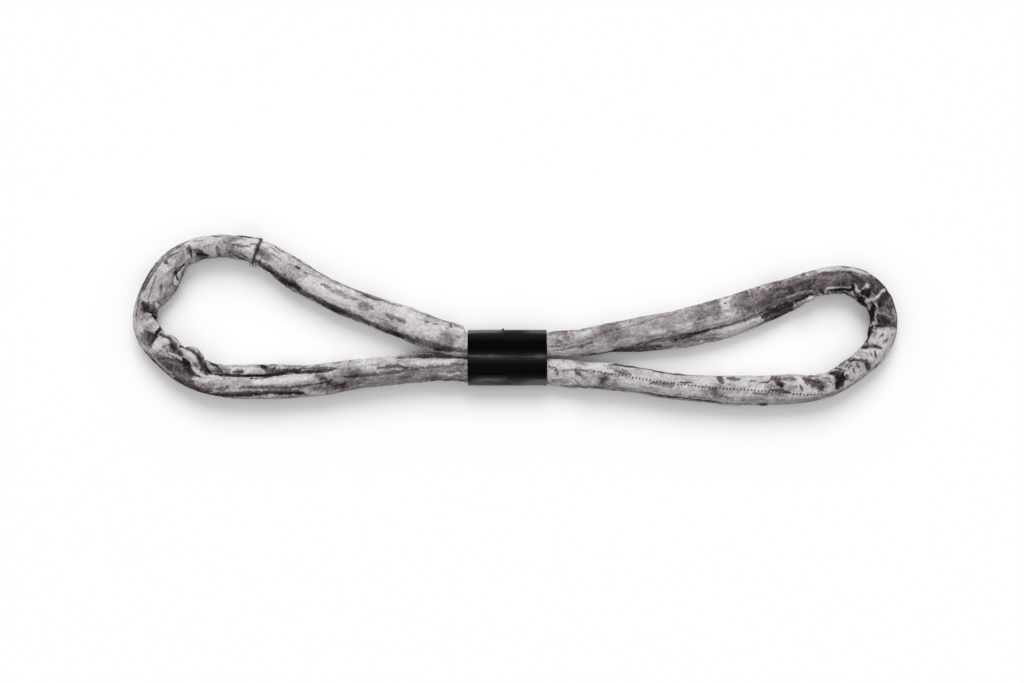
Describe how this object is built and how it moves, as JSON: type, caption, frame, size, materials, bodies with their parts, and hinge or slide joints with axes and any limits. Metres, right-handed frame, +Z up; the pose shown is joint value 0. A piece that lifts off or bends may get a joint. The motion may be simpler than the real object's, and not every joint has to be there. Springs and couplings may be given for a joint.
{
  "type": "round sling",
  "caption": "Endless yarn core in a sewn velvet jacket, drawn into two long eyes by a ribbed black sleeve that slides along both legs.",
  "frame": {"origin": "middle of the outline at the surface that the sling lies on", "axes": "+X along the legs towards the right eye, +Z up out of the plane of the loop"},
  "size_m": [0.4948, 0.1132, 0.0159],
  "materials": {
    "yarn": "loose polyester filament",
    "tape": "woven cotton tape",
    "velvet": "crushed velvet pile",
    "thread": "matt sewing thread",
    "webbing": "ribbed elastic webbing"
  },
  "bodies": {
    "sling": {"core_yarn": "yarn", "splice_tape": "tape", "jacket": "velvet", "closing_thread": "thread", "side_stitches": "thread", "thread_tail": "thread"},
    "keeper": {"keeper_sleeve": "webbing"}
  },
  "joints": [
    {"name": "keeper_slide", "type": "slide", "parent": "sling", "child": "keeper", "axis": [1, 0, 0], "range_m": [0, 0.015]}
  ]
}
